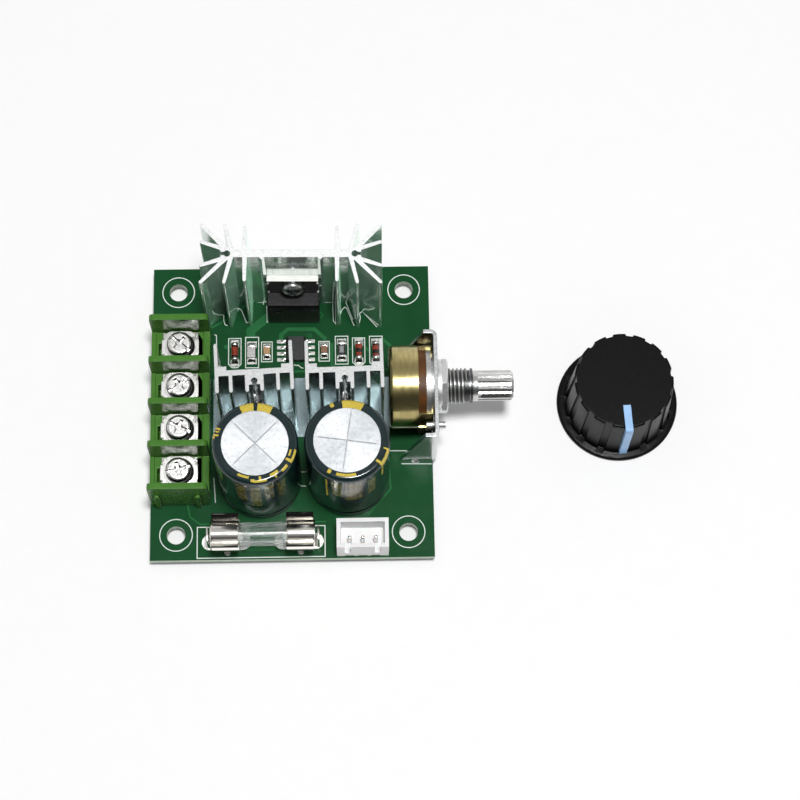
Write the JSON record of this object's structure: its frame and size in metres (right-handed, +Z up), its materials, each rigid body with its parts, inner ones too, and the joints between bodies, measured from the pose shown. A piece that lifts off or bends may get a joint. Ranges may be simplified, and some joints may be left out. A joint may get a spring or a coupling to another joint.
{
  "type": "dc motor speed controller",
  "caption": "Pulse-width speed controller board for a small DC motor, with screw terminals, heatsinks, capacitors, fuse, bracketed control shaft and a loose knob.",
  "frame": {"origin": "centre of the mounting hole pattern, on the underside of the circuit board", "axes": "+X from the terminal block towards the control shaft, +Y towards the star heatsink, +Z up out of the parts side"},
  "size_m": [0.1039, 0.06, 0.0286],
  "materials": {
    "green_board": "glass fibre board under a smooth green solder mask",
    "green_plastic": "moulded olive green plastic, glossy",
    "white_plastic": "moulded white nylon",
    "black_plastic": "moulded black plastic, fine matt texture",
    "blue_plastic": "moulded light blue plastic",
    "black_epoxy": "black moulding compound",
    "extruded_aluminium": "bright drawn aluminium",
    "can_aluminium": "plain deep-drawn aluminium",
    "tinned_metal": "tinned copper alloy",
    "nickel_steel": "nickel plated steel",
    "bracket_steel": "zinc plated sheet steel",
    "zinc_casting": "die cast zinc alloy",
    "yellow_plated_steel": "steel with yellow passivated zinc plating",
    "brass": "plain brass",
    "dark_sleeve": "shrunk dark green vinyl sleeve, glossy",
    "black_rubber": "moulded black rubber",
    "clear_glass": "clear glass tube",
    "red_glass": "orange glass with a black band",
    "brown_laminate": "brown phenolic laminate",
    "ivory_plastic": "moulded ivory acetal",
    "fuse_element": "tinned wire with solder drops",
    "ceramic_black": "resistor chips: black glaze over ceramic",
    "ceramic_tan": "capacitor chips: tan ceramic",
    "solder": "solder"
  },
  "bodies": {
    "board": {"circuit_board": "green_board", "terminal_housing": "green_plastic", "terminal_contacts": "brass", "star_heatsink": "extruded_aluminium", "left_heatsink": "extruded_aluminium", "right_heatsink": "extruded_aluminium", "heatsink_pins": "tinned_metal", "transistor_body": "black_epoxy", "transistor_tab": "tinned_metal", "transistor_leads": "tinned_metal", "transistor_nut": "nickel_steel", "left_device_body": "black_epoxy", "left_device_tab": "tinned_metal", "left_device_leads": "tinned_metal", "right_device_body": "black_epoxy", "right_device_tab": "tinned_metal", "right_device_leads": "tinned_metal", "package_screws": "nickel_steel", "left_capacitor_can": "can_aluminium", "left_capacitor_sleeve": "dark_sleeve", "right_capacitor_can": "can_aluminium", "right_capacitor_sleeve": "dark_sleeve", "capacitor_bungs": "black_rubber", "capacitor_leads": "tinned_metal", "fuse_clips": "nickel_steel", "fuse_glass": "clear_glass", "fuse_caps": "nickel_steel", "fuse_wire": "fuse_element", "connector_housing": "white_plastic", "connector_pins": "tinned_metal", "pot_bracket": "bracket_steel", "pot_cup": "yellow_plated_steel", "pot_wafer": "brown_laminate", "pot_casting": "zinc_casting", "pot_terminals": "tinned_metal", "pot_washer": "nickel_steel", "pot_nut": "nickel_steel", "chip_body": "black_epoxy", "chip_leads": "tinned_metal", "glass_diodes": "red_glass", "diode_ends": "tinned_metal", "chip_resistors": "ceramic_black", "ceramic_capacitors": "ceramic_tan", "end_caps": "tinned_metal", "solder_joints": "solder"},
    "control_shaft": {"pot_shaft": "bracket_steel", "pot_rotor": "ivory_plastic", "pot_wiper": "brass", "pot_clip": "bracket_steel"},
    "knob": {"knob_body": "black_plastic", "knob_pointer": "blue_plastic"},
    "clamp_1": {"terminal_clamp_1": "nickel_steel"},
    "screw_1": {"terminal_screw_1": "nickel_steel"},
    "clamp_2": {"terminal_clamp_2": "nickel_steel"},
    "screw_2": {"terminal_screw_2": "nickel_steel"},
    "clamp_3": {"terminal_clamp_3": "nickel_steel"},
    "screw_3": {"terminal_screw_3": "nickel_steel"},
    "clamp_4": {"terminal_clamp_4": "nickel_steel"},
    "screw_4": {"terminal_screw_4": "nickel_steel"}
  },
  "joints": [
    {"name": "shaft_turn", "type": "hinge", "parent": "board", "child": "control_shaft", "pos_m": [0.0276, 0.0013, 0.0116], "axis": [1, 0, 0], "range_deg": [-150, 150]},
    {"name": "knob_lift", "type": "slide", "parent": "board", "child": "knob", "axis": [0, 0, 1], "range_m": [0, 0.03]},
    {"name": "clamp_1_lift", "type": "slide", "parent": "board", "child": "clamp_1", "axis": [0, 0, 1], "range_m": [0, 0.0025]},
    {"name": "clamp_2_lift", "type": "slide", "parent": "board", "child": "clamp_2", "axis": [0, 0, 1], "range_m": [0, 0.0025]},
    {"name": "clamp_3_lift", "type": "slide", "parent": "board", "child": "clamp_3", "axis": [0, 0, 1], "range_m": [0, 0.0025]},
    {"name": "clamp_4_lift", "type": "slide", "parent": "board", "child": "clamp_4", "axis": [0, 0, 1], "range_m": [0, 0.0025]},
    {"name": "screw_1_turn", "type": "hinge", "parent": "clamp_1", "child": "screw_1", "pos_m": [-0.02155, 0.01134, 0.0076], "axis": [0, 0, 1], "range_deg": [0, 1801]},
    {"name": "screw_2_turn", "type": "hinge", "parent": "clamp_2", "child": "screw_2", "pos_m": [-0.02155, 0.00284, 0.0076], "axis": [0, 0, 1], "range_deg": [0, 1801]},
    {"name": "screw_3_turn", "type": "hinge", "parent": "clamp_3", "child": "screw_3", "pos_m": [-0.02155, -0.00566, 0.0076], "axis": [0, 0, 1], "range_deg": [0, 1801]},
    {"name": "screw_4_turn", "type": "hinge", "parent": "clamp_4", "child": "screw_4", "pos_m": [-0.02155, -0.01416, 0.0076], "axis": [0, 0, 1], "range_deg": [0, 1801]}
  ],
  "couplings": [
    {"joint": "screw_1_turn", "follows": "clamp_1_lift", "rad_per_m": 12566},
    {"joint": "screw_2_turn", "follows": "clamp_2_lift", "rad_per_m": 12566},
    {"joint": "screw_3_turn", "follows": "clamp_3_lift", "rad_per_m": 12566},
    {"joint": "screw_4_turn", "follows": "clamp_4_lift", "rad_per_m": 12566}
  ]
}
